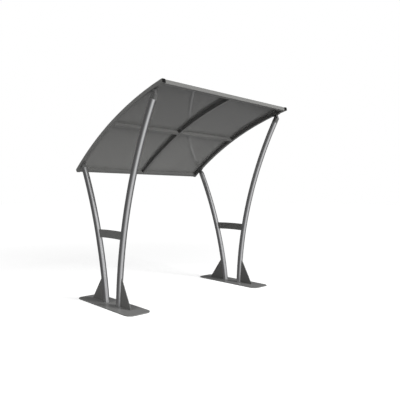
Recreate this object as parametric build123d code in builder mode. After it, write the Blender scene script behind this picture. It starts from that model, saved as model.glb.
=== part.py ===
"""Open-fronted bike shelter: two bent-tube frames under one curved sheet roof.

Millimetres, +Z up. The origin is on the ground under the middle of the roof.
-Y is the high, open side where bikes are rolled in; +Y is the low side.
The posts are tubes that their plates and heads close, so they are left solid inside.
"""

import math
import os

from build123d import *

# ---- driving dimensions ----------------------------------------------------
# Frames
frame_spacing = 2500.0          # between the middle planes of the two frames
frame_offset = 45.7             # from the middle of the sheet back to the frames' middle
post_diameter = 88.9
post_bend_radius = 5970.0       # of the tube's middle line
foot_spacing = 330.6            # between the two posts where they are bent from
front_post_lean = 1.72          # degrees from upright at the foot
rear_post_lean = 8.34

# Base plates
plate_thickness = 12.0
plate_width = 380.0
plate_front_reach = 688.0       # from the frame centre line
plate_rear_reach = 709.0
plate_corner_radius = 100.0
anchor_hole_radius = 9.0
anchor_spacing_x = 260.0
anchor_spacing_y = 1200.0

# Foot gussets and brace plates
gusset_thickness = 10.0
front_toe_setback = 233.0       # from the plate's end to the gusset's toe
front_gusset_height = 396.0     # above the base plate
rear_toe_setback = 169.0
rear_gusset_height = 366.0
gusset_toe_height = 10.0
brace_thickness = 10.0
brace_height = 116.0
brace_level = 981.0             # middle of the brace's ends, above the base plate
brace_rise = 8.0                # how much its two edges arch up

# Roof
roof_radius = 5293.0            # top face of the sheet
front_edge_angle = 11.85        # degrees from upright, about the roof's own centre
rear_edge_angle = 38.11
front_edge_height = 2980.2      # top of the sheet above the ground
sheet_thickness = 2.0
sheet_joint_gap = 3.0
seat_clearance = 0.3            # under the sheet, over the flat-topped rails
rib_width = 50.0
rib_depth = 50.0
rib_wall = 3.0
front_rib_overhang = 9.0        # of the outer ribs, past the sheet's edge
rear_rib_overhang = 4.0
rail_width = 50.0               # front and rear beams and purlins, along the slope
rail_depth = 50.0
rail_wall = 3.0
purlin_angle = 25.25            # degrees from upright, about the roof's own centre

# Plugs in the ends of the outer ribs
plug_flange = 6.0
plug_depth = 20.0
plug_clearance = 0.3

# Post heads and saddles
saddle_thickness = 8.0
saddle_length = 130.0
saddle_width = 50.0
front_collar_length = 72.0
rear_collar_length = 32.0
front_head_gap = 62.0           # down the post's line, from the saddle's level to the collar
rear_head_gap = 49.0
neck_width = 44.0               # along the shelter, and under the saddle
neck_foot = 68.0                # across the collar's top

# ---- worked out from them ---------------------------------------------------
half_spacing = frame_spacing / 2
roof_half_width = half_spacing + rib_width / 2
front_angle = math.radians(front_edge_angle)
rear_angle = math.radians(rear_edge_angle)
sheet_underside = roof_radius - sheet_thickness
rib_underside = sheet_underside - rib_depth
saddle_underside = rib_underside - saddle_thickness
rail_top = math.sqrt((sheet_underside - seat_clearance) ** 2 - (rail_width / 2) ** 2)
rail_half_angle = math.asin(rail_width / 2 / sheet_underside)
RAIL_ANGLE = {"front": front_angle + rail_half_angle, "rear": rear_angle - rail_half_angle}

RIB_END_ANGLE = {
    "front": front_angle - front_rib_overhang / sheet_underside,
    "rear": rear_angle + rear_rib_overhang / sheet_underside,
}

# The furthest points to the front and rear, measured from the roof's own centre:
# the lower edge of the front plugs' flanges, and the upper edge of the rear ones'.
front_reach = rib_underside * math.sin(RIB_END_ANGLE["front"])
front_reach -= plug_flange * math.cos(RIB_END_ANGLE["front"])
rear_reach = sheet_underside * math.sin(RIB_END_ANGLE["rear"])
rear_reach += plug_flange * math.cos(RIB_END_ANGLE["rear"])
roof_centre_y = -(front_reach + rear_reach) / 2
roof_centre_z = front_edge_height - roof_radius * math.cos(front_angle)
roof_axis = Axis((0, roof_centre_y, roof_centre_z), (1, 0, 0))
sheet_middle_y = roof_centre_y + roof_radius * (math.sin(front_angle) + math.sin(rear_angle)) / 2
frame_y = sheet_middle_y + frame_offset
post_radius = post_diameter / 2

SIDES = {"left": -1, "right": 1}
ENDS = {"front": -1, "rear": 1}
FOOT_LEAN = {"front": math.radians(front_post_lean), "rear": math.radians(rear_post_lean)}
COLLAR_LENGTH = {"front": front_collar_length, "rear": rear_collar_length}
HEAD_GAP = {"front": front_head_gap, "rear": rear_head_gap}
PLATE_REACH = {"front": plate_front_reach, "rear": plate_rear_reach}
TOE_SETBACK = {"front": front_toe_setback, "rear": rear_toe_setback}
GUSSET_HEIGHT = {"front": front_gusset_height, "rear": rear_gusset_height}

os.makedirs("parts", exist_ok=True)


def save(builder, name):
    """Label one finished piece and write it as its own file."""
    builder.part.label = name
    export_step(builder.part, f"parts/{name}.step")


# ---- roof geometry ----------------------------------------------------------
def roof_plane(angle, x=0.0):
    """Plane across the roof at an angle from upright: X along the rails, Y out from the centre."""
    return Plane(
        origin=(x, roof_centre_y, roof_centre_z),
        x_dir=(1, 0, 0),
        z_dir=(0, -math.cos(angle), math.sin(angle)),
    )


def rail_plane(angle, x=0.0):
    """Plane across a rail at its flat top: X down the slope, Y out from the roof's centre."""
    return Plane(
        origin=(
            x,
            roof_centre_y + rail_top * math.sin(angle),
            roof_centre_z + rail_top * math.cos(angle),
        ),
        x_dir=(0, math.cos(angle), -math.sin(angle)),
        z_dir=(1, 0, 0),
    )


def box_section(middle, width, depth, wall):
    """The wall of a box section, with its middle at a height in the sketch."""
    with Locations((0, middle)):
        Rectangle(width, depth)
        Rectangle(width - 2 * wall, depth - 2 * wall, mode=Mode.SUBTRACT)


def beam_inner_face(end):
    """The face of the front or rear beam that the middle rib is cut to."""
    top = rail_plane(RAIL_ANGLE[end])
    inward = top.x_dir * -ENDS[end]
    return Plane(origin=top.origin + inward * (rail_width / 2), x_dir=(1, 0, 0), z_dir=inward)


# ---- post geometry ----------------------------------------------------------
def post_centre(end):
    """Centre of the post's bend, in the frame's plane, as (y, z)."""
    out = ENDS[end]
    lean = FOOT_LEAN[end]
    foot_y = frame_y + out * foot_spacing / 2
    return (
        foot_y + out * post_bend_radius * math.cos(lean),
        plate_thickness - post_bend_radius * math.sin(lean),
    )


def post_angle_at(end, distance):
    """Angle along the post's bend where it is a distance from the roof's centre."""
    out = ENDS[end]
    centre_y, centre_z = post_centre(end)
    away_y = roof_centre_y - centre_y
    away_z = roof_centre_z - centre_z
    away = math.hypot(away_y, away_z)
    toward = math.atan2(away_z, -out * away_y)
    cosine = (away**2 + post_bend_radius**2 - distance**2) / (2 * away * post_bend_radius)
    return toward + math.acos(cosine)


def post_angle_at_height(end, height):
    """Angle along the post's bend at a height above the ground."""
    return math.asin((height - post_centre(end)[1]) / post_bend_radius)


def post_plane(end, x, angle):
    """Plane across the bend's centre: X along the shelter, Y out to the post's middle line."""
    out = ENDS[end]
    centre_y, centre_z = post_centre(end)
    return Plane(
        origin=(x, centre_y, centre_z),
        x_dir=(1, 0, 0),
        z_dir=(0, -math.sin(angle), -out * math.cos(angle)),
    )


def post_point(end, angle):
    """Point of the post's middle line, as (y, z)."""
    out = ENDS[end]
    centre_y, centre_z = post_centre(end)
    return (
        centre_y - out * post_bend_radius * math.cos(angle),
        centre_z + post_bend_radius * math.sin(angle),
    )


def tube_top_angle(end):
    """Where the bent tube stops, under its head's collar."""
    below_saddle = (HEAD_GAP[end] + COLLAR_LENGTH[end]) / post_bend_radius
    return post_angle_at(end, saddle_underside) - below_saddle


def bar_round_post(end, x, radius, mode=Mode.ADD):
    """A round bar along the post's bend, from under the plate to the top of the tube."""
    centre_y, centre_z = post_centre(end)
    start = FOOT_LEAN[end] - post_diameter / post_bend_radius
    with BuildSketch(post_plane(end, x, start)) as section:
        with Locations((0, post_bend_radius)):
            Circle(radius)
    revolve(
        section.sketch,
        axis=Axis((x, centre_y, centre_z), (-ENDS[end], 0, 0)),
        revolution_arc=math.degrees(tube_top_angle(end) - start),
        mode=mode,
    )


def head_plane(end, x):
    """Plane on top of the tube, square to it, facing the roof."""
    angle = tube_top_angle(end)
    return Plane(
        origin=(x, *post_point(end, angle)),
        x_dir=(1, 0, 0),
        z_dir=(0, ENDS[end] * math.sin(angle), math.cos(angle)),
    )


def across(point, direction, width):
    """The two ends, as (y, z), of a line of a width through a point."""
    ends = [point - direction * (width / 2), point + direction * (width / 2)]
    return [(place.Y, place.Z) for place in ends]


def inside_roof_radius(x, radius):
    """Keep only what lies nearer the roof's centre than a radius."""
    with BuildSketch(Plane.YZ.offset(x)) as disc:
        with Locations((roof_centre_y, roof_centre_z)):
            Circle(radius)
    extrude(disc.sketch, amount=post_diameter, both=True, mode=Mode.INTERSECT)


# ---- base plates ------------------------------------------------------------
plate_length = plate_front_reach + plate_rear_reach
plate_middle_y = frame_y + (plate_rear_reach - plate_front_reach) / 2
for side, sign in SIDES.items():
    with BuildPart() as base_plate:
        with BuildSketch():
            with Locations((sign * half_spacing, plate_middle_y)):
                RectangleRounded(plate_width, plate_length, plate_corner_radius)
        extrude(amount=plate_thickness)
        with Locations((sign * half_spacing, plate_middle_y, plate_thickness)):
            with GridLocations(anchor_spacing_x, anchor_spacing_y, 2, 2):
                Hole(anchor_hole_radius)
    save(base_plate, f"base_plate_{side}")

# ---- posts and foot gussets -------------------------------------------------
for side, sign in SIDES.items():
    x = sign * half_spacing
    for end, out in ENDS.items():
        with BuildPart() as post:
            bar_round_post(end, x, post_radius)
            split(bisect_by=Plane.XY.offset(plate_thickness), keep=Keep.TOP)
        save(post, f"post_{end}_{side}")

        heel_y = frame_y + out * foot_spacing / 2
        toe_y = frame_y + out * (PLATE_REACH[end] - TOE_SETBACK[end])
        gusset_top = plate_thickness + GUSSET_HEIGHT[end]
        tip_y = post_point(end, post_angle_at_height(end, gusset_top))[0]
        with BuildPart() as gusset:
            with BuildSketch(Plane.YZ.offset(x)):
                with BuildLine():
                    Polyline(
                        (heel_y, plate_thickness),
                        (toe_y, plate_thickness),
                        (toe_y, plate_thickness + gusset_toe_height),
                        (tip_y + out * post_radius, gusset_top),
                        (tip_y, gusset_top),
                        close=True,
                    )
                make_face()
            extrude(amount=gusset_thickness / 2, both=True)
            bar_round_post(end, x, post_radius, Mode.SUBTRACT)
        save(gusset, f"gusset_{end}_{side}")

# ---- brace plates between the two posts of a frame --------------------------
brace_middle_z = plate_thickness + brace_level
for side, sign in SIDES.items():
    x = sign * half_spacing
    front_y, rear_y = [
        post_point(end, post_angle_at_height(end, brace_middle_z))[0] for end in ENDS
    ]
    middle_y = (front_y + rear_y) / 2
    low_z = brace_middle_z - brace_height / 2
    high_z = brace_middle_z + brace_height / 2
    with BuildPart() as brace:
        with BuildSketch(Plane.YZ.offset(x)):
            with BuildLine():
                ThreePointArc((front_y, low_z), (middle_y, low_z + brace_rise), (rear_y, low_z))
                Line((rear_y, low_z), (rear_y, high_z))
                ThreePointArc((rear_y, high_z), (middle_y, high_z + brace_rise), (front_y, high_z))
                Line((front_y, high_z), (front_y, low_z))
            make_face()
        extrude(amount=brace_thickness / 2, both=True)
        for end in ENDS:
            bar_round_post(end, x, post_radius, Mode.SUBTRACT)
    save(brace, f"brace_{side}")

# ---- post heads and their saddles under the ribs ----------------------------
# A round collar on the tube turns through a tapered neck to stand square to the rib.
saddle_arc = saddle_length / saddle_underside
for side, sign in SIDES.items():
    x = sign * half_spacing
    for end in ENDS:
        tube_top = head_plane(end, x)
        collar_top = tube_top.origin + tube_top.z_dir * COLLAR_LENGTH[end]
        rise_y = collar_top.Y - roof_centre_y
        rise_z = collar_top.Z - roof_centre_z
        saddle_angle = math.atan2(rise_y, rise_z)
        crown = roof_plane(saddle_angle, x)
        neck_top = crown.origin + crown.y_dir * rib_underside
        with BuildPart() as head:
            with BuildSketch(tube_top):
                Circle(post_radius)
            extrude(amount=COLLAR_LENGTH[end])
            with BuildSketch(Plane.YZ.offset(x)):
                with BuildLine():
                    Polyline(
                        *across(collar_top, tube_top.y_dir, neck_foot),
                        *across(neck_top, crown.z_dir, neck_width),
                        close=True,
                    )
                make_face()
            extrude(amount=neck_width / 2, both=True)
            inside_roof_radius(x, saddle_underside)
        save(head, f"post_head_{end}_{side}")

        with BuildPart() as saddle:
            with BuildSketch(roof_plane(saddle_angle + saddle_arc / 2, x)):
                with Locations((0, rib_underside - saddle_thickness / 2)):
                    Rectangle(saddle_width, saddle_thickness)
            revolve(axis=roof_axis, revolution_arc=math.degrees(saddle_arc))
        save(saddle, f"rib_saddle_{end}_{side}")

# ---- ribs -------------------------------------------------------------------
# The outer ribs run past the beams. The middle one stops between them.
rib_middle = sheet_underside - rib_depth / 2
rib_sweep = RIB_END_ANGLE["rear"] - RIB_END_ANGLE["front"]
rib_places = {"left": -half_spacing, "middle": 0.0, "right": half_spacing}
for name, x in rib_places.items():
    with BuildPart() as rib:
        with BuildSketch(roof_plane(RIB_END_ANGLE["rear"], x)):
            box_section(rib_middle, rib_width, rib_depth, rib_wall)
        revolve(axis=roof_axis, revolution_arc=math.degrees(rib_sweep))
        if name == "middle":
            for end in ENDS:
                split(bisect_by=beam_inner_face(end), keep=Keep.TOP)
    save(rib, f"rib_{name}")

# ---- plugs in the ends of the outer ribs ------------------------------------
plug_width = rib_width - 2 * (rib_wall + plug_clearance)
plug_height = rib_depth - 2 * (rib_wall + plug_clearance)
for side, sign in SIDES.items():
    for end, out in ENDS.items():
        rib_end = roof_plane(RIB_END_ANGLE[end], sign * half_spacing)
        with BuildPart() as plug:
            with BuildSketch(rib_end):
                with Locations((0, rib_middle)):
                    Rectangle(rib_width, rib_depth)
            extrude(amount=-out * plug_flange)
            with BuildSketch(rib_end):
                with Locations((0, rib_middle)):
                    Rectangle(plug_width, plug_height)
            extrude(amount=out * plug_depth)
        save(plug, f"rib_plug_{end}_{side}")

# ---- front and rear beams between the outer ribs ----------------------------
beam_half_length = half_spacing - rib_width / 2
for end in ENDS:
    with BuildPart() as beam:
        with BuildSketch(rail_plane(RAIL_ANGLE[end], -beam_half_length)):
            box_section(-rail_depth / 2, rail_width, rail_depth, rail_wall)
        extrude(amount=2 * beam_half_length)
    save(beam, f"{end}_beam")

# ---- purlins between the ribs -----------------------------------------------
purlin_length = half_spacing - rib_width
purlin_starts = {"left": rib_width / 2 - half_spacing, "right": rib_width / 2}
for side, start_x in purlin_starts.items():
    with BuildPart() as purlin:
        with BuildSketch(rail_plane(math.radians(purlin_angle), start_x)):
            box_section(-rail_depth / 2, rail_width, rail_depth, rail_wall)
        extrude(amount=purlin_length)
    save(purlin, f"purlin_{side}")

# ---- roof sheets ------------------------------------------------------------
sheet_width = roof_half_width - sheet_joint_gap / 2
for side, sign in SIDES.items():
    middle_x = sign * (roof_half_width + sheet_joint_gap / 2) / 2
    with BuildPart() as sheet:
        with BuildSketch(roof_plane(rear_angle, middle_x)):
            with Locations((0, roof_radius - sheet_thickness / 2)):
                Rectangle(sheet_width, sheet_thickness)
        revolve(axis=roof_axis, revolution_arc=math.degrees(rear_angle - front_angle))
    save(sheet, f"roof_sheet_{side}")
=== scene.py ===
"""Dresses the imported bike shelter: satin steel posts, powder-coated roof frame, welds and fixings.

Metres, +Z up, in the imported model's own frame. -Y is the high open front, +X the right-hand frame.
"""

from math import atan2, cos, pi, radians, sin, sqrt
from operator import itemgetter

import bmesh
import bpy
from bpy.props import FloatProperty, FloatVectorProperty, IntProperty, PointerProperty
from mathutils import Matrix, Vector


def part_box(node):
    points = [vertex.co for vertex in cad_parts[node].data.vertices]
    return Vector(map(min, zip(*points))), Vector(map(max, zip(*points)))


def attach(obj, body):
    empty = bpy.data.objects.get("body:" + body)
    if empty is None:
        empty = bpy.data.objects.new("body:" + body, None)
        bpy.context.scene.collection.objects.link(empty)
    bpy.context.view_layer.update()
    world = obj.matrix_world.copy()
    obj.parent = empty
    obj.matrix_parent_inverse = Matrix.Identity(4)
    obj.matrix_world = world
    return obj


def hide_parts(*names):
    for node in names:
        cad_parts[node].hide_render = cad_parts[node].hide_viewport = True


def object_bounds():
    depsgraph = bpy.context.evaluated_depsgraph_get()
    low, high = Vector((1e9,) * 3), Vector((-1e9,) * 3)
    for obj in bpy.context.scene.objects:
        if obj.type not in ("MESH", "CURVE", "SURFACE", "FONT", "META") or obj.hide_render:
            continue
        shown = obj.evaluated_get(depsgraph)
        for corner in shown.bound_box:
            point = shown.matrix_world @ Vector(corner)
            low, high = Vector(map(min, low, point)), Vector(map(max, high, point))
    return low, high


bl_info = {
    "name": "Bike Shelter Finisher",
    "version": (1, 0, 0),
    "blender": (4, 5, 0),
    "location": "View3D > Sidebar > Shelter",
    "description": "Finishes the packed bike shelter with its steel, paint, welds and fixings",
    "category": "Object",
}

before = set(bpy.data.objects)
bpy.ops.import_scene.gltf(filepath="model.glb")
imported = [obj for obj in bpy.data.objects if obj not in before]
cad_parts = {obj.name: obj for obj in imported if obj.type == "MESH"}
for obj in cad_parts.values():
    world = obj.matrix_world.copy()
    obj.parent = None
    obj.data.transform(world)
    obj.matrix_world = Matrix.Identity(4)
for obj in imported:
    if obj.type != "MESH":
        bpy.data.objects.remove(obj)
CAD_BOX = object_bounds()

SIDES = ("left", "right")
ENDS = ("front", "rear")
CORNERS = [f"{end}_{side}" for end in ENDS for side in SIDES]
RIBS = ("left", "middle", "right")
OUT = {"front": -1, "rear": 1}  # which way along Y a post leans
MERGE_DISTANCE = 1e-5
FLAT_ANGLE = radians(0.4)
SHARP_ANGLE = radians(32)
BEVEL_STEPS = 3

# What gloss sees changes at these heights of a direction: -1 is straight down, 1 straight up.
GROUND_FULL, GROUND_EDGE, GLOW_FULL = -0.5, -0.42, 0.2
GLOW_SHARE_LOW, GLOW_SHARE_HIGH = 0.68, 1.12

FLOOR_HALF_WIDTH = 60.0
FLOOR_LEVEL = -0.0005
NEAR_FLOOR, FAR_FLOOR = 3.0, 11.0  # distances from the origin, where the floor's lift changes


# ---- sizes, finishes and studio ----------------------------------------------
class ShelterSizes(bpy.types.PropertyGroup):
    """Sizes of the details that the finisher adds."""

    edge_rounding: FloatProperty(
        name="Edge rounding", description="Radius on the edges of plates and brackets",
        default=0.0015, unit="LENGTH")
    section_rounding: FloatProperty(
        name="Section rounding", description="Outer corner radius of the box sections",
        default=0.004, unit="LENGTH")
    sheet_rounding: FloatProperty(
        name="Sheet rounding", description="Radius on the edges of the roof sheets",
        default=0.0006, unit="LENGTH")
    plug_rounding: FloatProperty(
        name="Plug rounding", description="Radius on the edges of the moulded rib ends",
        default=0.001, unit="LENGTH")
    arc_step: FloatProperty(
        name="Arc step", description="Angle between the sections of the curved roof pieces",
        default=radians(0.5), subtype="ANGLE")
    tube_tuck: FloatProperty(
        name="Tube tuck", description="How far a post's foot runs down into its base plate",
        default=0.0052, unit="LENGTH")
    tube_sides: IntProperty(name="Tube sides", description="Faces round each post", default=96)
    tube_steps: IntProperty(name="Tube steps", description="Sections along each post", default=72)
    bead_radius: FloatProperty(
        name="Bead radius", description="Radius of the weld beads round the footings",
        default=0.0035, unit="LENGTH")
    seam_radius: FloatProperty(
        name="Seam radius", description="Radius of the weld beads in the roof frame",
        default=0.0022, unit="LENGTH")
    bead_pitch: FloatProperty(
        name="Bead pitch", description="Length of one ripple of a weld bead",
        default=0.006, unit="LENGTH")
    bead_depth: FloatProperty(
        name="Bead depth", description="How much a ripple narrows the bead, as a share",
        default=0.14)
    screw_pitch: FloatProperty(
        name="Screw pitch", description="Distance between roof screws", default=0.3, unit="LENGTH")
    screw_edge: FloatProperty(
        name="Screw edge", description="From a sheet's edge to the screws beside the roof joint",
        default=0.012, unit="LENGTH")
    screw_radius: FloatProperty(
        name="Screw radius", description="Radius of a roof screw's pan head",
        default=0.0045, unit="LENGTH")
    screw_height: FloatProperty(
        name="Screw height", description="Height of a roof screw's pan head",
        default=0.0026, unit="LENGTH")
    screw_washer: FloatProperty(
        name="Screw washer", description="Radius of the washer under a roof screw's head",
        default=0.0072, unit="LENGTH")
    screw_washer_height: FloatProperty(
        name="Screw washer height", description="Thickness of that washer",
        default=0.0012, unit="LENGTH")
    screw_crown: FloatProperty(
        name="Screw crown", description="Radius of the head's top, as a share of its foot's",
        default=0.6)
    bolt_edge: FloatProperty(
        name="Bolt edge", description="From a saddle's end to its bolts",
        default=0.018, unit="LENGTH")
    bolt_radius: FloatProperty(
        name="Bolt radius", description="Radius over the corners of a saddle bolt's head",
        default=0.0075, unit="LENGTH")
    bolt_height: FloatProperty(
        name="Bolt height", description="Height of a saddle bolt's head",
        default=0.0053, unit="LENGTH")
    bolt_washer: FloatProperty(
        name="Bolt washer", description="Radius of the washer under a saddle bolt's head",
        default=0.008625, unit="LENGTH")
    bolt_washer_height: FloatProperty(
        name="Bolt washer height", description="Thickness of that washer",
        default=0.0016, unit="LENGTH")
    bolt_crown: FloatProperty(
        name="Bolt crown", description="Radius of the head's top, as a share of its foot's",
        default=0.94)
    seal_radius: FloatProperty(
        name="Seal radius", description="Radius of the rubber bead in the roof joint",
        default=0.0024, unit="LENGTH")
    seal_depth: FloatProperty(
        name="Seal depth", description="From the sheets' top faces down to the seal's middle",
        default=0.001, unit="LENGTH")
    seal_end: FloatProperty(
        name="Seal end", description="From the sheets' front and rear edges to the seal",
        default=0.012, unit="LENGTH")
    seal_pitch: FloatProperty(
        name="Seal pitch", description="Length of one wave in the seal's width",
        default=0.04, unit="LENGTH")
    seal_wave: FloatProperty(
        name="Seal wave", description="How much a wave narrows the seal, as a share",
        default=0.02)


class ShelterFinishes(bpy.types.PropertyGroup):
    """Colours of the finishes."""

    steel: FloatVectorProperty(
        name="Steel", description="Satin steel of the posts", subtype="COLOR",
        default=(0.75, 0.75, 0.76))
    frame_paint: FloatVectorProperty(
        name="Frame paint", description="Powder coat of the ribs, beams and brackets",
        subtype="COLOR", default=(0.1, 0.1, 0.097))
    # Painted shade: this darker copy of the frame paint stands in for the roof's shadow on the post
    # heads and saddles.
    head_painted_shade: FloatVectorProperty(
        name="Head paint", description="Darker powder coat of the post heads and saddles",
        subtype="COLOR", default=(0.062, 0.062, 0.061))
    plate_paint: FloatVectorProperty(
        name="Plate paint", description="Powder coat of the base plates", subtype="COLOR",
        default=(0.15, 0.15, 0.148))
    roof_paint: FloatVectorProperty(
        name="Roof paint", description="Coating of the roof sheets", subtype="COLOR",
        default=(0.104, 0.104, 0.1))
    plug_plastic: FloatVectorProperty(
        name="Plug plastic", description="Moulded plugs in the outer ribs", subtype="COLOR",
        default=(0.004, 0.004, 0.004))


class ShelterStudio(bpy.types.PropertyGroup):
    """The camera and the lamps."""

    camera_place: FloatVectorProperty(
        name="Camera", description="Where the camera stands", subtype="TRANSLATION",
        default=(-4.5332, -5.2423, 1.5725))
    camera_heading: FloatProperty(
        name="Heading", description="Turn from looking along +Y, towards +X",
        default=radians(43.2055), subtype="ANGLE")
    camera_tilt: FloatProperty(
        name="Tilt", description="Upward tilt of the camera", default=radians(-0.7426),
        subtype="ANGLE")
    camera_roll: FloatProperty(
        name="Roll", description="Turn of the camera about its own line", subtype="ANGLE",
        default=radians(0.1973))
    camera_lens: FloatProperty(
        name="Lens", description="Focal length", default=38.86, unit="CAMERA")
    dome_level: FloatProperty(
        name="Dome", description="Light from the white surroundings", default=0.17)
    key_watts: FloatProperty(
        name="Key", description="Tall soft box in front", default=1750.0)
    fill_watts: FloatProperty(
        name="Fill", description="High soft box to the left", default=400.0)
    floor_tone: FloatProperty(
        name="Floor", description="Colour of the floor", default=0.5)
    floor_lift: FloatProperty(
        name="Floor lift", description="How far the floor is raised to white beside the shelter",
        default=0.58)
    far_lift: FloatProperty(
        name="Far lift", description="How far the floor is raised to white where it is far off",
        default=0.93)
    bright_heading: FloatProperty(
        name="Bright heading", description="Where gloss sees the brightest light, from +X",
        default=radians(272), subtype="ANGLE")
    bright_tone: FloatProperty(
        name="Bright tone", description="Tone that gloss sees there", default=0.9)
    dark_tone: FloatProperty(
        name="Dark tone", description="Tone that gloss sees on the far side", default=0.1)
    bright_falloff: FloatProperty(
        name="Falloff", description="How fast the tone falls away on both sides", default=3.0)
    ground_tone: FloatProperty(
        name="Ground tone", description="Tone that gloss sees below, instead of the floor",
        default=0.24)


# ---- mesh helpers --------------------------------------------------------------
def merged_copy(node):
    """A CAD node's mesh with its loose triangles joined and its flat faces made whole."""
    mesh = bmesh.new()
    mesh.from_mesh(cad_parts[node].data)
    bmesh.ops.remove_doubles(mesh, verts=mesh.verts, dist=MERGE_DISTANCE)
    bmesh.ops.dissolve_limit(
        mesh, angle_limit=FLAT_ANGLE, verts=mesh.verts[:], edges=mesh.edges[:])
    return mesh


def add_piece(name, mesh, material):
    """Links a bmesh to the scene as a new object with one material."""
    data = bpy.data.meshes.new(name)
    mesh.to_mesh(data)
    mesh.free()
    if "custom_normal" in data.attributes:
        data.attributes.remove(data.attributes["custom_normal"])
    data.materials.clear()
    data.materials.append(material)
    piece = bpy.data.objects.new(name, data)
    bpy.context.scene.collection.objects.link(piece)
    return piece


def settle(piece):
    """Turns what a piece's modifiers make into its plain mesh."""
    graph = bpy.context.evaluated_depsgraph_get()
    made = bpy.data.meshes.new_from_object(piece.evaluated_get(graph))
    piece.modifiers.clear()
    piece.data = made
    made.name = piece.name
    return piece


def soften(piece, radius):
    """Rounds a piece's sharp edges and shades it smooth between its flat faces."""
    for face in piece.data.polygons:
        face.use_smooth = True
    bevel = piece.modifiers.new("Edges", "BEVEL")
    bevel.width = radius
    bevel.segments = BEVEL_STEPS
    bevel.limit_method = "ANGLE"
    bevel.angle_limit = SHARP_ANGLE
    bevel.miter_outer = "MITER_ARC"
    piece.modifiers.new("Flats", "WEIGHTED_NORMAL")
    return settle(piece)


def hand_over(piece, slot, *nodes):
    """Sets a finished piece on the shelter, in the place of the CAD nodes that it stands for."""
    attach(piece, "root")
    if nodes:
        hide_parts(*nodes)


def circle_through(first, second, third):
    """Centre and radius of the circle through three (y, z) points."""
    (ay, az), (by, bz), (cy, cz) = first, second, third
    scale = 2 * (ay * (bz - cz) + by * (cz - az) + cy * (az - bz))
    a2, b2, c2 = ay * ay + az * az, by * by + bz * bz, cy * cy + cz * cz
    centre_y = (a2 * (bz - cz) + b2 * (cz - az) + c2 * (az - bz)) / scale
    centre_z = (a2 * (cy - by) + b2 * (ay - cy) + c2 * (by - ay)) / scale
    return centre_y, centre_z, sqrt((ay - centre_y) ** 2 + (az - centre_z) ** 2)


def side_line(node):
    """The (y, z) points on a node's right-hand edge, from the lowest up."""
    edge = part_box(node)[1].x - MERGE_DISTANCE
    points = [vertex.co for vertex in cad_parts[node].data.vertices if vertex.co.x > edge]
    return sorted(((point.y, point.z) for point in points), key=lambda point: point[1])


def roof_arc():
    """Centre (y, z) and radius of the roof's top face."""
    line = side_line("roof_sheet_left")
    rear, front = max(line), line[-1]
    chord = Vector((rear[0] - front[0], rear[1] - front[1]))

    def rise(point):
        return Vector((point[0] - front[0], point[1] - front[1])).cross(chord)

    return circle_through(rear, min(line, key=rise), front)


def true_to_arc(mesh, step):
    """Cuts a curved roof piece into fine sections and sets each on its true radius."""
    centre_y, centre_z, _ = roof_arc()

    def polar(vertex):
        across, up = vertex.co.y - centre_y, vertex.co.z - centre_z
        return atan2(across, up), sqrt(across * across + up * up)

    places = [polar(vertex) for vertex in mesh.verts]
    radii = {round(radius, 4) for _, radius in places}
    low = min(angle for angle, _ in places)
    high = max(angle for angle, _ in places)
    count = int((high - low) / step)
    for index in range(1, count):
        angle = low + (high - low) * index / count
        bmesh.ops.bisect_plane(
            mesh, geom=mesh.verts[:] + mesh.edges[:] + mesh.faces[:], dist=MERGE_DISTANCE,
            plane_co=(0, centre_y, centre_z), plane_no=(0, cos(angle), -sin(angle)))
    for vertex in mesh.verts:
        angle, radius = polar(vertex)
        radius = min(radii, key=lambda known: abs(known - radius))
        vertex.co.y = centre_y + radius * sin(angle)
        vertex.co.z = centre_z + radius * cos(angle)


# ---- Geometry Nodes helpers ------------------------------------------------------
def new_tree(name, **inputs):
    """A Geometry Nodes tree with a geometry, some named inputs and a material, and its inputs."""
    tree = bpy.data.node_groups.new(name, "GeometryNodeTree")
    kinds = {"Geometry": "Geometry", **inputs, "Material": "Material"}
    for label, kind in kinds.items():
        tree.interface.new_socket(
            label.replace("_", " "), in_out="INPUT", socket_type=f"NodeSocket{kind}")
    tree.interface.new_socket("Geometry", in_out="OUTPUT", socket_type="NodeSocketGeometry")
    return tree, tree.nodes.new("NodeGroupInput").outputs


def add_node(tree, kind, settings=None, **inputs):
    """Adds a node, sets its options, and fills its inputs with values or links."""
    node = tree.nodes.new(kind)
    for name, value in (settings or {}).items():
        setattr(node, name, value)
    for name, value in inputs.items():
        label = name.replace("_", " ")
        socket = node.inputs[int(name[1:])] if name[1:].isdigit() else node.inputs[label]
        if isinstance(value, bpy.types.NodeSocket):
            tree.links.new(value, socket)
        else:
            socket.default_value = value
    return node


def work_out(tree, operation, *values):
    """The result of a Math node on some values or links."""
    inputs = {f"i{index}": value for index, value in enumerate(values)}
    return add_node(tree, "ShaderNodeMath", {"operation": operation}, **inputs).outputs[0]


def close_tree(tree, geometry, material):
    """Ends a tree: smooth shading between sharp edges, realized instances, one material."""
    angle = add_node(tree, "GeometryNodeInputMeshEdgeAngle").outputs["Unsigned Angle"]
    sharp = add_node(
        tree, "FunctionNodeCompare", {"operation": "GREATER_THAN"}, i0=angle, i1=SHARP_ANGLE)
    real = add_node(tree, "GeometryNodeRealizeInstances", Geometry=geometry)
    smooth = add_node(
        tree, "GeometryNodeSetShadeSmooth", Geometry=real.outputs[0], Shade_Smooth=True)
    edged = add_node(
        tree, "GeometryNodeSetShadeSmooth", {"domain": "EDGE"}, Geometry=smooth.outputs[0],
        Selection=sharp.outputs[0], Shade_Smooth=False)
    painted = add_node(
        tree, "GeometryNodeSetMaterial", Geometry=edged.outputs[0], Material=material)
    end = tree.nodes.new("NodeGroupOutput")
    tree.links.new(painted.outputs[0], end.inputs["Geometry"])
    return tree


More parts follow.
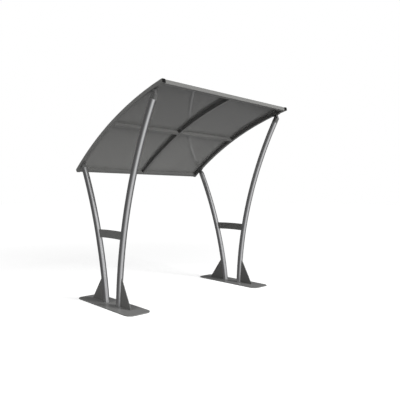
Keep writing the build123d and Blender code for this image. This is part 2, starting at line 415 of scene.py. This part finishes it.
def grow(name, tree, values, path=None):
    """Runs a tree on a path of vertices and edges, and keeps the result as a plain piece."""
    data = bpy.data.meshes.new(name)
    if path:
        data.from_pydata(path["points"], path.get("edges", []), [])
        if "facing" in path:
            facing = data.attributes.new("facing", "FLOAT_VECTOR", "POINT")
            for index, direction in enumerate(path["facing"]):
                facing.data[index].vector = direction
    piece = bpy.data.objects.new(name, data)
    bpy.context.scene.collection.objects.link(piece)
    modifier = piece.modifiers.new("Build", "NODES")
    modifier.node_group = tree
    for socket in tree.interface.items_tree:
        if socket.in_out == "INPUT" and socket.name in values:
            modifier[socket.identifier] = values[socket.name]
    return settle(piece)


def bent_tube_tree():
    """A round tube bent along the arc through three points."""
    tree, given = new_tree(
        "Bent tube", Start="Vector", Middle="Vector", End="Vector", Radius="Float", Sides="Int",
        Steps="Int")
    line = add_node(
        tree, "GeometryNodeCurveArc", {"mode": "POINTS"}, Resolution=given["Steps"],
        Start=given["Start"], Middle=given["Middle"], End=given["End"])
    section = add_node(
        tree, "GeometryNodeCurvePrimitiveCircle", Resolution=given["Sides"],
        Radius=given["Radius"])
    tube = add_node(
        tree, "GeometryNodeCurveToMesh", Curve=line.outputs["Curve"],
        Profile_Curve=section.outputs["Curve"], Fill_Caps=True)
    return close_tree(tree, tube.outputs[0], given["Material"])


def weld_bead_tree():
    """A rippled bead along each run of the path."""
    tree, given = new_tree(
        "Weld bead", Bead_Radius="Float", Ripple_Pitch="Float", Ripple_Depth="Float")
    line = add_node(tree, "GeometryNodeMeshToCurve", Mesh=given["Geometry"])
    even = add_node(
        tree, "GeometryNodeResampleCurve", {"mode": "LENGTH"}, Curve=line.outputs[0],
        Length=work_out(tree, "DIVIDE", given["Ripple Pitch"], 4.0))
    along = add_node(tree, "GeometryNodeSplineParameter").outputs["Length"]
    turns = work_out(tree, "DIVIDE", along, given["Ripple Pitch"])
    wave = work_out(tree, "SINE", work_out(tree, "MULTIPLY", turns, 2 * pi))
    swell = work_out(tree, "MULTIPLY_ADD", wave, given["Ripple Depth"], 1.0)
    rippled = add_node(
        tree, "GeometryNodeSetCurveRadius", Curve=even.outputs[0], Radius=swell)
    section = add_node(
        tree, "GeometryNodeCurvePrimitiveCircle", Resolution=8, Radius=given["Bead Radius"])
    bead = add_node(
        tree, "GeometryNodeCurveToMesh", Curve=rippled.outputs[0],
        Profile_Curve=section.outputs["Curve"], Fill_Caps=True)
    return close_tree(tree, bead.outputs[0], given["Material"])


def fixing_tree(name, head_sides):
    """A washer and a bolt head on each point, standing along its facing direction."""
    tree, given = new_tree(
        name, Washer_Radius="Float", Washer_Height="Float", Head_Radius="Float",
        Head_Height="Float", Crown_Share="Float")

    def raised(shape, height):
        """A primitive moved up by a height."""
        place = add_node(tree, "ShaderNodeCombineXYZ", Z=height)
        return add_node(
            tree, "GeometryNodeTransform", Geometry=shape.outputs["Mesh"],
            Translation=place.outputs[0]).outputs[0]

    washer = add_node(
        tree, "GeometryNodeMeshCylinder", Vertices=24, Radius=given["Washer Radius"],
        Depth=given["Washer Height"])
    head = add_node(
        tree, "GeometryNodeMeshCone", Vertices=head_sides,
        Radius_Top=work_out(tree, "MULTIPLY", given["Head Radius"], given["Crown Share"]),
        Radius_Bottom=given["Head Radius"], Depth=given["Head Height"])
    half_washer = work_out(tree, "MULTIPLY", given["Washer Height"], 0.5)
    parts = add_node(tree, "GeometryNodeJoinGeometry")
    tree.links.new(raised(washer, half_washer), parts.inputs[0])
    tree.links.new(raised(head, given["Washer Height"]), parts.inputs[0])
    facing = add_node(
        tree, "GeometryNodeInputNamedAttribute", {"data_type": "FLOAT_VECTOR"}, Name="facing")
    turned = add_node(
        tree, "FunctionNodeAlignRotationToVector", {"axis": "Z"},
        Vector=facing.outputs["Attribute"])
    copies = add_node(
        tree, "GeometryNodeInstanceOnPoints", Points=given["Geometry"],
        Instance=parts.outputs[0], Rotation=turned.outputs[0])
    return close_tree(tree, copies.outputs[0], given["Material"])


# ---- finishes --------------------------------------------------------------------
def open_material(name):
    """A slot's or a new material, emptied, with a shader joined to its output."""
    material = bpy.data.materials.get(name) or bpy.data.materials.new(name)
    material.use_nodes = True
    tree = material.node_tree
    tree.nodes.clear()
    shader = tree.nodes.new("ShaderNodeBsdfPrincipled")
    output = tree.nodes.new("ShaderNodeOutputMaterial")
    tree.links.new(shader.outputs[0], output.inputs["Surface"])
    return tree, shader


def noise(tree, scale, detail, stretch=(1, 1, 1)):
    """Noise on the object's own coordinates, stretched by a share along each axis."""
    coordinates = add_node(tree, "ShaderNodeTexCoord").outputs["Object"]
    mapped = add_node(tree, "ShaderNodeMapping", Vector=coordinates, Scale=stretch)
    return add_node(
        tree, "ShaderNodeTexNoise", Vector=mapped.outputs[0], Scale=scale,
        Detail=detail).outputs[0]


def spread(tree, value, low, high):
    """Maps a noise value from its usual range to a low and a high."""
    return add_node(
        tree, "ShaderNodeMapRange", Value=value, From_Min=0.3, From_Max=0.7, To_Min=low,
        To_Max=high).outputs[0]


def shaded(tree, value, colour, share):
    """A colour that a value from 0 to 1 makes darker or lighter by a share."""
    low = [channel * (1 - share) for channel in colour] + [1]
    high = [channel * (1 + share) for channel in colour] + [1]
    return add_node(
        tree, "ShaderNodeMix", {"data_type": "RGBA"}, i0=value, i6=low, i7=high).outputs[2]


def powder_coat(name, colour, roughness):
    """Powder coat: an even colour with faint clouding and fine orange peel."""
    tree, shader = open_material(name)
    cloud = noise(tree, scale=5.0, detail=3.0)
    tree.links.new(shaded(tree, cloud, colour, share=0.06), shader.inputs["Base Color"])
    uneven = spread(tree, cloud, roughness - 0.02, roughness + 0.02)
    tree.links.new(uneven, shader.inputs["Roughness"])
    peel = add_node(
        tree, "ShaderNodeBump", Strength=0.12, Distance=0.0004,
        Height=noise(tree, scale=260.0, detail=2.0))
    tree.links.new(peel.outputs[0], shader.inputs["Normal"])


def sheet_coating(name, colour):
    """Satin coating under a clear gloss coat, with faint clouding and painted light and shade:
    darker at the front, lighter towards the rear.
    """
    tree, shader = open_material(name)
    coordinates = add_node(tree, "ShaderNodeTexCoord").outputs["Object"]
    back = add_node(tree, "ShaderNodeSeparateXYZ", Vector=coordinates).outputs["Y"]
    front, rear = (corner[1] for corner in CAD_BOX)
    # Painted light and shade: the colour runs from darker at the front to lighter at the rear, with
    # faint random clouding on top.
    painted_light_ramp = add_node(
        tree, "ShaderNodeMapRange", Value=back, From_Min=front, From_Max=rear, To_Min=0.0,
        To_Max=0.75).outputs[0]
    cloud = noise(tree, scale=1.5, detail=3.0)
    clouding_and_painted_light = work_out(tree, "MULTIPLY_ADD", cloud, 0.2, painted_light_ramp)
    tree.links.new(shaded(tree, clouding_and_painted_light, colour, share=0.45), shader.inputs["Base Color"])
    tree.links.new(spread(tree, cloud, low=0.28, high=0.34), shader.inputs["Roughness"])
    shader.inputs["Coat Weight"].default_value = 1.0
    shader.inputs["Coat Roughness"].default_value = 0.03
    shader.inputs["Coat IOR"].default_value = 1.8


def satin_steel(name, colour):
    """Steel tube ground along its length to a satin finish."""
    tree, shader = open_material(name)
    shader.inputs["Metallic"].default_value = 1.0
    grain = noise(tree, scale=700.0, detail=3.0, stretch=(1, 1, 0.02))
    cloud = noise(tree, scale=4.0, detail=2.0)
    tree.links.new(shaded(tree, grain, colour, share=0.05), shader.inputs["Base Color"])
    tree.links.new(spread(tree, cloud, low=0.28, high=0.32), shader.inputs["Roughness"])
    scratch = add_node(tree, "ShaderNodeBump", Strength=0.06, Distance=0.0003, Height=grain)
    tree.links.new(scratch.outputs[0], shader.inputs["Normal"])


def moulded_plastic(name, colour, roughness):
    """Moulded plastic with a fine spark-eroded grain."""
    tree, shader = open_material(name)
    grain = noise(tree, scale=900.0, detail=2.0)
    tree.links.new(shaded(tree, grain, colour, share=0.15), shader.inputs["Base Color"])
    shader.inputs["Roughness"].default_value = roughness
    shader.inputs["Specular IOR Level"].default_value = 0.2
    bump = add_node(tree, "ShaderNodeBump", Strength=0.15, Distance=0.0003, Height=grain)
    tree.links.new(bump.outputs[0], shader.inputs["Normal"])


# ---- operators ---------------------------------------------------------------------
class SHELTER_OT_finishes(bpy.types.Operator):
    """Mix the steel, the powder coats and the plastics"""

    bl_idname = "shelter.finishes"
    bl_label = "Mix finishes"

    def execute(self, context):
        colours = context.scene.shelter_finishes
        satin_steel("post_steel", colours.steel)
        powder_coat("frame_paint", colours.frame_paint, roughness=0.3)
        # The post heads and saddles get a darker copy of the frame paint, which is painted shade for
        # the roof's shadow.
        powder_coat("head_painted_shade", colours.head_painted_shade, roughness=0.32)
        powder_coat("plate_paint", colours.plate_paint, roughness=0.32)
        sheet_coating("roof_sheet", colours.roof_paint)
        moulded_plastic("plug_plastic", colours.plug_plastic, roughness=0.6)
        return {"FINISHED"}


def post_line(end, side):
    """Start, middle and end of a post's middle line."""
    node = f"post_{end}_{side}"
    low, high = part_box(node)
    line = side_line(node)
    points = (line[0], line[len(line) // 2], line[-1])
    return [Vector(((low.x + high.x) / 2, y, z)) for y, z in points]


def post_radius(end, side):
    """Outer radius of a post's tube."""
    low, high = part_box(f"post_{end}_{side}")
    return (high.x - low.x) / 2


class SHELTER_OT_posts(bpy.types.Operator):
    """Bend the four smooth steel tubes"""

    bl_idname = "shelter.posts"
    bl_label = "Bend posts"

    def execute(self, context):
        sizes = context.scene.shelter_sizes
        tree = bent_tube_tree()
        for side in SIDES:
            for end in ENDS:
                start, middle, top = post_line(end, side)
                foot = start + (start - middle).normalized() * sizes.tube_tuck
                post = grow(f"steel_tube_{end}_{side}", tree, {
                    "Start": foot, "Middle": middle, "End": top,
                    "Radius": post_radius(end, side), "Sides": sizes.tube_sides,
                    "Steps": sizes.tube_steps, "Material": bpy.data.materials["post_steel"]})
                hand_over(post, "post_steel", f"post_{end}_{side}")
        return {"FINISHED"}


def dress(nodes, slot, radius, step=None, finish=None):
    """Gives each of some CAD nodes a piece of its own shape with rounded edges."""
    for node in nodes:
        mesh = merged_copy(node)
        if step:
            true_to_arc(mesh, step)
        piece = add_piece(f"{node}_finished", mesh, bpy.data.materials[finish or slot])
        hand_over(soften(piece, radius), slot, node)


class SHELTER_OT_footings(bpy.types.Operator):
    """Finish the base plates, gussets and brace plates"""

    bl_idname = "shelter.footings"
    bl_label = "Finish footings"

    def execute(self, context):
        radius = context.scene.shelter_sizes.edge_rounding
        dress([f"base_plate_{side}" for side in SIDES], "plate_paint", radius)
        webs = [f"gusset_{corner}" for corner in CORNERS] + [f"brace_{side}" for side in SIDES]
        dress(webs, "frame_paint", radius)
        return {"FINISHED"}


class SHELTER_OT_heads(bpy.types.Operator):
    """Finish the post heads and the saddles under the ribs"""

    bl_idname = "shelter.heads"
    bl_label = "Finish post heads"

    def execute(self, context):
        radius = context.scene.shelter_sizes.edge_rounding
        for kind in ("post_head", "rib_saddle"):
            nodes = [f"{kind}_{corner}" for corner in CORNERS]
            # The heads and saddles take the darker copy of the frame paint: painted shade for the
            # roof's shadow.
            dress(nodes, "frame_paint", radius, finish="head_painted_shade")
        return {"FINISHED"}


class SHELTER_OT_roof_frame(bpy.types.Operator):
    """Finish the ribs, beams, purlins and moulded plugs"""

    bl_idname = "shelter.roof_frame"
    bl_label = "Finish roof frame"

    def execute(self, context):
        sizes = context.scene.shelter_sizes
        ribs = [f"rib_{place}" for place in RIBS]
        dress(ribs, "frame_paint", sizes.section_rounding, sizes.arc_step)
        rails = [f"{end}_beam" for end in ENDS] + [f"purlin_{side}" for side in SIDES]
        dress(rails, "frame_paint", sizes.section_rounding)
        dress([f"rib_plug_{corner}" for corner in CORNERS], "plug_plastic", sizes.plug_rounding)
        return {"FINISHED"}


class SHELTER_OT_roof_sheets(bpy.types.Operator):
    """Finish the two curved roof sheets"""

    bl_idname = "shelter.roof_sheets"
    bl_label = "Finish roof sheets"

    def execute(self, context):
        sizes = context.scene.shelter_sizes
        sheets = [f"roof_sheet_{side}" for side in SIDES]
        dress(sheets, "roof_sheet", sizes.sheet_rounding, sizes.arc_step)
        return {"FINISHED"}


# ---- welds -------------------------------------------------------------------------
def one_path(runs):
    """Points and edges of several runs, each closed where it ends at its own start."""
    points, edges = [], []
    for run in runs:
        closed = (run[0] - run[-1]).length < MERGE_DISTANCE
        fresh = run[:-1] if closed else run
        first = len(points)
        points += fresh
        edges += [(index, index + 1) for index in range(first, len(points) - 1)]
        if closed:
            edges.append((len(points) - 1, first))
    return {"points": points, "edges": edges}


def ring(centre, axis, radius, steps=64):
    """A closed round run about an axis that is square to X."""
    across = axis.cross(Vector((1, 0, 0))).normalized()
    turns = [2 * pi * index / steps for index in range(steps)]
    points = [
        centre + Vector((radius * cos(turn), 0, 0)) + across * radius * sin(turn)
        for turn in turns]
    return points + points[:1]


def post_bend(end, side):
    """Centre (y, z) and radius of the bend of a post's middle line."""
    return circle_through(*((point.y, point.z) for point in post_line(end, side)))


def run_on_post(end, side, facing, offset, low, high, steps=24):
    """A run up a post's outer (1) or inner (-1) face, beside its middle, between two heights."""
    centre_y, centre_z, bend = post_bend(end, side)
    reach = bend - facing * sqrt(post_radius(end, side) ** 2 - offset ** 2)
    x = post_line(end, side)[0].x + offset
    points = []
    for index in range(steps + 1):
        height = low + (high - low) * index / steps
        across = sqrt(reach ** 2 - (height - centre_z) ** 2)
        points.append(Vector((x, centre_y - OUT[end] * across, height)))
    return points


def brace_end(end, side):
    """The lowest and the highest point of a brace plate on a post."""
    centre_y, centre_z, bend = post_bend(end, side)
    reach = bend + post_radius(end, side) + MERGE_DISTANCE
    heights = [
        vertex.co.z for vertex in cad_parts[f"brace_{side}"].data.vertices
        if Vector((vertex.co.y - centre_y, vertex.co.z - centre_z)).length < reach]
    return min(heights), max(heights)


def web_runs(end, side):
    """The runs along both faces of a gusset and of the brace plate, where they meet a post."""
    low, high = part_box(f"gusset_{end}_{side}")
    offset = (high.x - low.x) / 2
    x = (low.x + high.x) / 2
    toe = high.y if OUT[end] > 0 else low.y
    runs = []
    for edge in (-offset, offset):
        up = run_on_post(end, side, 1, edge, low.z, high.z)
        runs.append(up)
        runs.append([up[0], Vector((x + edge, toe, low.z))])
        runs.append(run_on_post(end, side, -1, edge, *brace_end(end, side)))
    return runs


def roof_polar(node):
    """The (angle, radius) of a node's points about the centre of the roof's arc."""
    centre_y, centre_z, _ = roof_arc()
    points = [vertex.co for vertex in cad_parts[node].data.vertices]
    places = [(point.y - centre_y, point.z - centre_z) for point in points]
    return sorted({(round(atan2(y, z), 6), round(sqrt(y * y + z * z), 5)) for y, z in places})


def on_roof(x, angle, radius):
    """The point at an angle and a radius about the centre of the roof's arc."""
    centre_y, centre_z, _ = roof_arc()
    return Vector((x, centre_y + radius * sin(angle), centre_z + radius * cos(angle)))


def rail_corners(node):
    """A rail's outer corners: upper front, lower front, lower rear and upper rear."""
    places = roof_polar(node)
    front, rear = places[:len(places) // 2], places[len(places) // 2:]
    front_low, front_high = min(front, key=itemgetter(1)), max(front, key=itemgetter(1))
    rear_low, rear_high = min(rear, key=itemgetter(1)), max(rear, key=itemgetter(1))
    return front_high, front_low, rear_low, rear_high


def rail_runs(node):
    """The runs round a rail's front, under and rear faces at both of its ends."""
    low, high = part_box(node)
    return [
        [on_roof(x, angle, radius) for angle, radius in rail_corners(node)]
        for x in (low.x, high.x)]


def middle_rib_runs(end):
    """The two runs where the middle rib stops against a beam."""
    upper_front, lower_front, lower_rear, upper_rear = rail_corners(f"{end}_beam")
    face = (upper_rear, lower_rear) if end == "front" else (upper_front, lower_front)
    low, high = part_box("rib_middle")
    return [[on_roof(x, angle, radius) for angle, radius in face] for x in (low.x, high.x)]


def lay_beads(name, tree, runs, radius, slot):
    """Lays a rippled bead along some runs and hands it over."""
    sizes = bpy.context.scene.shelter_sizes
    bead = grow(name, tree, {
        "Bead Radius": radius, "Ripple Pitch": sizes.bead_pitch,
        "Ripple Depth": sizes.bead_depth, "Material": bpy.data.materials[slot],
    }, one_path(runs))
    hand_over(bead, slot)


class SHELTER_OT_welds(bpy.types.Operator):
    """Lay the weld beads on the footings, the post heads and the roof frame"""

    bl_idname = "shelter.welds"
    bl_label = "Lay welds"

    def execute(self, context):
        sizes = context.scene.shelter_sizes
        tree = weld_bead_tree()
        bead, seam = sizes.bead_radius, sizes.seam_radius
        for side in SIDES:
            for end in ENDS:
                radius = post_radius(end, side)
                foot, _, top = post_line(end, side)
                centre_y, centre_z, _ = post_bend(end, side)
                lean = Vector((0, top.z - centre_z, centre_y - top.y))
                foot_runs = [ring(foot, Vector((0, 0, 1)), radius)]
                head_runs = [ring(top, lean, radius)]
                webs = web_runs(end, side)
                lay_beads(f"foot_weld_{end}_{side}", tree, foot_runs, bead, "plate_paint")
                lay_beads(f"web_welds_{end}_{side}", tree, webs, bead, "frame_paint")
                lay_beads(f"head_weld_{end}_{side}", tree, head_runs, seam, "frame_paint")
        for side in SIDES:
            runs = rail_runs(f"purlin_{side}")
            lay_beads(f"purlin_welds_{side}", tree, runs, seam, "frame_paint")
        for end in ENDS:
            runs = rail_runs(f"{end}_beam") + middle_rib_runs(end)
            lay_beads(f"{end}_beam_welds", tree, runs, seam, "frame_paint")
        return {"FINISHED"}


# ---- screws, bolts and seal ------------------------------------------------------------
def between(start, end, pitch):
    """Even places from a start to an end, about a pitch apart."""
    count = max(1, round(abs(end - start) / pitch))
    return [start + (end - start) * index / count for index in range(count + 1)]


def fix(name, tree, spots, values, slot):
    """Sets a washer and a head on each spot, given as (point, facing)."""
    piece = grow(name, tree, dict(values, Material=bpy.data.materials[slot]), {
        "points": [point for point, _ in spots], "facing": [facing for _, facing in spots]})
    hand_over(piece, slot)


class SHELTER_OT_fixings(bpy.types.Operator):
    """Set the roof screws, the saddle bolts and the seal in the roof joint"""

    bl_idname = "shelter.fixings"
    bl_label = "Set fixings"

    def execute(self, context):
        sizes = context.scene.shelter_sizes
        screw = {
            "Washer Radius": sizes.screw_washer, "Washer Height": sizes.screw_washer_height,
            "Head Radius": sizes.screw_radius, "Head Height": sizes.screw_height,
            "Crown Share": sizes.screw_crown}
        bolt = {
            "Washer Radius": sizes.bolt_washer, "Washer Height": sizes.bolt_washer_height,
            "Head Radius": sizes.bolt_radius, "Head Height": sizes.bolt_height,
            "Crown Share": sizes.bolt_crown}
        round_head = fixing_tree("Pan head screw", head_sides=24)
        hex_head = fixing_tree("Hexagon bolt", head_sides=6)
        fix("roof_screws", round_head, self.screw_spots(sizes), screw, "post_steel")
        for side in SIDES:
            for end in ENDS:
                spots = self.bolt_spots(f"rib_saddle_{end}_{side}", sizes)
                fix(f"saddle_bolts_{end}_{side}", hex_head, spots, bolt, "frame_paint")
        self.lay_seal(sizes)
        return {"FINISHED"}

    def screw_spots(self, sizes):
        """Rows down the ribs and along the beams, square to the roof."""
        radius = roof_arc()[2]
        front, rear = (
            sum(angle for angle, _ in rail_corners(f"{end}_beam")) / 4 for end in ENDS)
        places = set()
        for side in SIDES:
            rib_low, rib_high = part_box(f"rib_{side}")
            outer = (rib_low.x + rib_high.x) / 2
            low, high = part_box(f"roof_sheet_{side}")
            inner = min((low.x, high.x), key=abs)
            inner += sizes.screw_edge * (1 if inner > 0 else -1)
            for x in (outer, inner):
                places |= {(x, angle) for angle in between(front, rear, sizes.screw_pitch / radius)}
            for angle in (front, rear):
                places |= {(x, angle) for x in between(outer, inner, sizes.screw_pitch)}
        return [
            (on_roof(x, angle, radius), Vector((0, sin(angle), cos(angle))))
            for x, angle in sorted(places)]

    def bolt_spots(self, saddle, sizes):
        """Two bolts up through a saddle, near its front and rear ends."""
        low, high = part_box(saddle)
        places = roof_polar(saddle)
        under = min(radius for _, radius in places)
        inset = sizes.bolt_edge / under
        return [
            (on_roof((low.x + high.x) / 2, angle, under), Vector((0, -sin(angle), -cos(angle))))
            for angle in (places[0][0] + inset, places[-1][0] - inset)]

    def lay_seal(self, sizes):
        """A rubber bead down the joint between the two sheets."""
        places = roof_polar("roof_sheet_left")
        radius = max(radius for _, radius in places)
        inset = sizes.seal_end / radius
        angles = between(places[0][0] + inset, places[-1][0] - inset, sizes.arc_step)
        run = [on_roof(0, angle, radius - sizes.seal_depth) for angle in angles]
        bead = grow("roof_joint_seal", weld_bead_tree(), {
            "Bead Radius": sizes.seal_radius, "Ripple Pitch": sizes.seal_pitch,
            "Ripple Depth": sizes.seal_wave, "Material": bpy.data.materials["plug_plastic"],
        }, one_path([run]))
        hand_over(bead, "plug_plastic")


# ---- studio ------------------------------------------------------------------------------
def eye_ray(tree):
    """1 where the camera looks straight or through a clear surface, otherwise 0."""
    path = tree.nodes.new("ShaderNodeLightPath").outputs
    return work_out(tree, "MAXIMUM", path["Is Camera Ray"], path["Is Transmission Ray"])


def soft_box(name, place, target, width, height, watts):
    """A rectangular area lamp that faces its target and that neither the camera nor gloss sees."""
    lamp = bpy.data.lights.new(name, "AREA")
    lamp.shape = "RECTANGLE"
    lamp.size, lamp.size_y = width, height
    lamp.energy = watts
    box = bpy.data.objects.new(name, lamp)
    bpy.context.scene.collection.objects.link(box)
    box.visible_camera = False
    box.visible_glossy = False
    box.location = place
    box.rotation_euler = (Vector(target) - Vector(place)).to_track_quat("-Z", "Y").to_euler()


class SHELTER_OT_studio(bpy.types.Operator):
    """Set up the camera, the pale floor, the white backdrop and the lamps"""

    bl_idname = "shelter.studio"
    bl_label = "Set up studio"

    def execute(self, context):
        studio = context.scene.shelter_studio
        context.scene.view_settings.view_transform = "Standard"
        self.add_camera(context, studio)
        self.add_backdrop(context, studio)
        self.add_floor(studio)
        soft_box(
            "key_lamp", place=(2.4, -8.3, 4.7), target=(0, 0, 2.0), width=4.0, height=5.5,
            watts=studio.key_watts)
        soft_box(
            "fill_lamp", place=(-7.0, 0.5, 4.8), target=(0, 0, 1.0), width=4.0, height=4.0,
            watts=studio.fill_watts)
        return {"FINISHED"}

    def add_camera(self, context, studio):
        """A nearly level camera at eye height, in front and to the left."""
        lens = bpy.data.cameras.new("camera")
        lens.lens = studio.camera_lens
        lens.sensor_width = 36.0
        camera = bpy.data.objects.new("camera", lens)
        context.scene.collection.objects.link(camera)
        turn = Matrix.Rotation(-studio.camera_heading, 4, "Z")
        tilt = Matrix.Rotation(pi / 2 + studio.camera_tilt, 4, "X")
        roll = Matrix.Rotation(studio.camera_roll, 4, "Z")
        camera.matrix_world = Matrix.Translation(studio.camera_place) @ turn @ tilt @ roll
        context.scene.camera = camera

    def add_backdrop(self, context, studio):
        """White surroundings for the eye, a soft glow in front for gloss, even light for paint."""
        world = bpy.data.worlds.new("white_surroundings")
        context.scene.world = world
        world.use_nodes = True
        tree = world.node_tree
        tree.nodes.clear()
        gloss_ray = tree.nodes.new("ShaderNodeLightPath").outputs["Is Glossy Ray"]
        light = add_node(tree, "ShaderNodeBackground", Strength=studio.dome_level)
        gloss = add_node(tree, "ShaderNodeBackground", Strength=self.add_glow(tree, studio))
        backdrop = add_node(tree, "ShaderNodeBackground", Strength=1.0)
        for background in (light, gloss, backdrop):
            background.inputs["Color"].default_value = (1, 1, 1, 1)
        lit = add_node(
            tree, "ShaderNodeMixShader", i0=gloss_ray, i1=light.outputs[0], i2=gloss.outputs[0])
        mixed = add_node(
            tree, "ShaderNodeMixShader", i0=eye_ray(tree), i1=lit.outputs[0],
            i2=backdrop.outputs[0])
        output = tree.nodes.new("ShaderNodeOutputWorld")
        tree.links.new(mixed.outputs[0], output.inputs["Surface"])

    def add_glow(self, tree, studio):
        """A tone that is bright on one heading, dark on the far side and pale towards the ground."""
        direction = add_node(tree, "ShaderNodeTexCoord").outputs["Object"]
        level = add_node(
            tree, "ShaderNodeVectorMath", {"operation": "MULTIPLY"}, i0=direction, i1=(1, 1, 0))
        heading = add_node(
            tree, "ShaderNodeVectorMath", {"operation": "NORMALIZE"}, i0=level.outputs[0])
        bright = (cos(studio.bright_heading), sin(studio.bright_heading), 0)
        toward = add_node(
            tree, "ShaderNodeVectorMath", {"operation": "DOT_PRODUCT"}, i0=heading.outputs[0],
            i1=bright)
        near = work_out(tree, "MAXIMUM", toward.outputs["Value"], 0.0)
        soft = work_out(tree, "POWER", near, studio.bright_falloff)
        height = add_node(tree, "ShaderNodeSeparateXYZ", Vector=direction).outputs["Z"]
        ground = add_node(
            tree, "ShaderNodeMapRange", Value=height, From_Min=GROUND_EDGE, From_Max=GROUND_FULL,
            To_Min=studio.dark_tone, To_Max=studio.ground_tone)
        share = add_node(
            tree, "ShaderNodeMapRange", Value=height, From_Min=GROUND_EDGE, From_Max=GLOW_FULL,
            To_Min=GLOW_SHARE_LOW, To_Max=GLOW_SHARE_HIGH)
        glow = work_out(tree, "MULTIPLY", soft, share.outputs[0])
        contrast = studio.bright_tone - studio.dark_tone
        return work_out(tree, "MULTIPLY_ADD", glow, contrast, ground.outputs[0])

    def add_floor(self, studio):
        """A wide pale floor that keeps the shelter's soft shadow and is white to the eye."""
        mesh = bmesh.new()
        bmesh.ops.create_grid(mesh, x_segments=1, y_segments=1, size=FLOOR_HALF_WIDTH)
        for vertex in mesh.verts:
            vertex.co.z = FLOOR_LEVEL
        material = bpy.data.materials.new("pale_floor")
        material.use_nodes = True
        tree = material.node_tree
        tree.nodes.clear()
        tone = studio.floor_tone
        matt = add_node(tree, "ShaderNodeBsdfDiffuse", Color=(tone, tone, tone, 1))
        place = add_node(tree, "ShaderNodeTexCoord").outputs["Object"]
        distance = add_node(
            tree, "ShaderNodeVectorMath", {"operation": "LENGTH"}, i0=place).outputs["Value"]
        raised = add_node(
            tree, "ShaderNodeMapRange", Value=distance, From_Min=NEAR_FLOOR, From_Max=FAR_FLOOR,
            To_Min=studio.floor_lift, To_Max=studio.far_lift)
        lift = add_node(
            tree, "ShaderNodeEmission", Color=(1, 1, 1, 1),
            Strength=work_out(tree, "MULTIPLY", eye_ray(tree), raised.outputs[0]))
        both = add_node(tree, "ShaderNodeAddShader", i0=matt.outputs[0], i1=lift.outputs[0])
        output = tree.nodes.new("ShaderNodeOutputMaterial")
        tree.links.new(both.outputs[0], output.inputs["Surface"])
        floor = add_piece("pale_floor", mesh, material)
        floor.visible_glossy = False


class SHELTER_PT_finisher(bpy.types.Panel):
    """Lists the shelter's sizes, finishes and steps in the sidebar"""

    bl_idname = "SHELTER_PT_finisher"
    bl_label = "Bike Shelter"
    bl_space_type = "VIEW_3D"
    bl_region_type = "UI"
    bl_category = "Shelter"

    def draw(self, context):
        for group in GROUPS:
            box = self.layout.box()
            for name in group.__annotations__:
                box.prop(getattr(context.scene, GROUPS[group]), name)
        for step in STEPS:
            self.layout.operator(step.bl_idname)


GROUPS = {
    ShelterSizes: "shelter_sizes",
    ShelterFinishes: "shelter_finishes",
    ShelterStudio: "shelter_studio",
}
STEPS = (
    SHELTER_OT_finishes,
    SHELTER_OT_posts,
    SHELTER_OT_footings,
    SHELTER_OT_heads,
    SHELTER_OT_roof_frame,
    SHELTER_OT_roof_sheets,
    SHELTER_OT_welds,
    SHELTER_OT_fixings,
    SHELTER_OT_studio,
)


def register():
    """Registers the settings, the steps and the panel."""
    for group, name in GROUPS.items():
        bpy.utils.register_class(group)
        setattr(bpy.types.Scene, name, PointerProperty(type=group))
    for kind in (*STEPS, SHELTER_PT_finisher):
        bpy.utils.register_class(kind)


def unregister():
    """Removes the panel, the steps and the settings."""
    for kind in (SHELTER_PT_finisher, *reversed(STEPS)):
        bpy.utils.unregister_class(kind)
    for group, name in GROUPS.items():
        delattr(bpy.types.Scene, name)
        bpy.utils.unregister_class(group)


def main():
    """Runs every step in order."""
    register()
    for step in STEPS:
        group, name = step.bl_idname.split(".")
        getattr(getattr(bpy.ops, group), name)()


if __name__ == "__main__":
    main()
